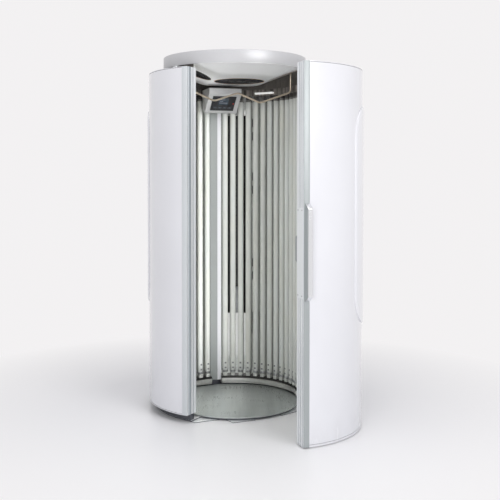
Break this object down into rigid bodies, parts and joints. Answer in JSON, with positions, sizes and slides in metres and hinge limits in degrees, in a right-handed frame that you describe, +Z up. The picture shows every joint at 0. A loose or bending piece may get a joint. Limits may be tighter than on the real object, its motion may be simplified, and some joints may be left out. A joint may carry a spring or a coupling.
{
  "type": "vertical tanning booth",
  "caption": "Round upright tanning booth: curved lamp walls, one hinged door standing open, bow handle, deck, and a shallow canopy with fans over the cabin.",
  "frame": {"origin": "on the booth axis at floor level, under the middle of the deck", "axes": "+Z up; the wing and the door meet at the front, towards -Y; the door hinge is towards +X"},
  "size_m": [1.5007, 1.2097, 2.224],
  "materials": {
    "anodised": "satin anodised extrusion",
    "black_metal": "matt black",
    "black_plastic": "moulded black",
    "champagne": "champagne anodised tube",
    "copper": "copper coloured ring",
    "deck": "brushed deck sheet",
    "galvanised": "zinc plated sheet",
    "grey_plastic": "moulded light grey",
    "key": "moulded keys",
    "lamp_fittings": "moulded holders",
    "lamp_glass": "phosphor coated tube",
    "polished": "polished bar",
    "rail": "rolled aluminium rail",
    "reflector": "bright rolled reflector sheet",
    "rubber": "black rubber",
    "screen": "dim display window",
    "silver": "silver paint",
    "steel": "bright steel",
    "white_gloss": "high gloss white paint on aluminium sheet",
    "white_plastic": "gloss white moulding"
  },
  "bodies": {
    "cabinet": {"back_end_caps": "white_gloss", "back_hinge_profile": "anodised", "back_lamp_holders": "lamp_fittings", "back_lamp_rails": "rail", "back_lamps": "lamp_glass", "back_raised_panel": "white_plastic", "back_reflector": "reflector", "back_shell": "white_gloss", "base_frame": "galvanised", "canopy_band": "silver", "canopy_intake": "black_metal", "canopy_lid": "silver", "canopy_posts": "galvanised", "canopy_tray": "silver", "control_bezel": "black_plastic", "control_housing": "grey_plastic", "control_screen": "screen", "deck_plate": "deck", "door_seal": "rubber", "electrical_units": "galvanised", "fan_grilles": "black_metal", "fan_motors": "black_metal", "fan_rims": "copper", "fixed_hinge_leaves": "steel", "floor_pads": "rubber", "grip_rail": "champagne", "hinge_pins": "steel", "junction_column": "anodised", "junction_strips": "white_plastic", "left_end_caps": "white_gloss", "left_end_profile": "anodised", "left_lamp_holders": "lamp_fittings", "left_lamp_rails": "rail", "left_lamps": "lamp_glass", "left_raised_panel": "white_plastic", "left_reflector": "reflector", "left_shell": "white_gloss", "light_bar": "white_plastic", "mains_inlet": "black_plastic", "plinth_ring": "galvanised"},
    "door": {"door_end_caps": "white_gloss", "door_handle": "polished", "door_hinge_leaves": "steel", "door_hinge_profile": "anodised", "door_lamp_holders": "lamp_fittings", "door_lamp_rails": "rail", "door_lamps": "lamp_glass", "door_latch_profile": "anodised", "door_raised_panel": "white_plastic", "door_reflector": "reflector", "door_shell": "white_gloss", "latch_cover": "anodised", "inner_pull": "anodised"},
    "left_fan": {"left_fan_rotor": "black_plastic"},
    "main_fan": {"main_fan_rotor": "black_plastic"},
    "right_fan": {"right_fan_rotor": "black_plastic"},
    "start_button": {"start_key": "key"},
    "stop_button": {"stop_key": "key"},
    "up_button": {"up_key": "key"},
    "down_button": {"down_key": "key"}
  },
  "joints": [
    {"name": "door_hinge", "type": "hinge", "parent": "cabinet", "child": "door", "pos_m": [0.46426, 0.31315, 1.05], "axis": [0, 0, 1], "range_deg": [-47.5, 50]},
    {"name": "left_fan_spin", "type": "hinge", "parent": "cabinet", "child": "left_fan", "pos_m": [-0.19317, -0.177, 2.13498], "axis": [0.2642, 0.2421, 0.9336], "continuous": true},
    {"name": "main_fan_spin", "type": "hinge", "parent": "cabinet", "child": "main_fan", "pos_m": [0.02286, 0.02094, 2.087], "axis": [0, 0, 1], "continuous": true},
    {"name": "right_fan_spin", "type": "hinge", "parent": "cabinet", "child": "right_fan", "pos_m": [0.23888, 0.21889, 2.13498], "axis": [-0.2642, -0.2421, 0.9336], "continuous": true},
    {"name": "start_press", "type": "slide", "parent": "cabinet", "child": "start_button", "axis": [-0.5255, 0.4731, 0.7071], "range_m": [0, 0.0012], "stiffness_N_per_m": 400},
    {"name": "stop_press", "type": "slide", "parent": "cabinet", "child": "stop_button", "axis": [-0.5255, 0.4731, 0.7071], "range_m": [0, 0.0012], "stiffness_N_per_m": 400},
    {"name": "up_press", "type": "slide", "parent": "cabinet", "child": "up_button", "axis": [-0.5255, 0.4731, 0.7071], "range_m": [0, 0.0012], "stiffness_N_per_m": 400},
    {"name": "down_press", "type": "slide", "parent": "cabinet", "child": "down_button", "axis": [-0.5255, 0.4731, 0.7071], "range_m": [0, 0.0012], "stiffness_N_per_m": 400}
  ]
}
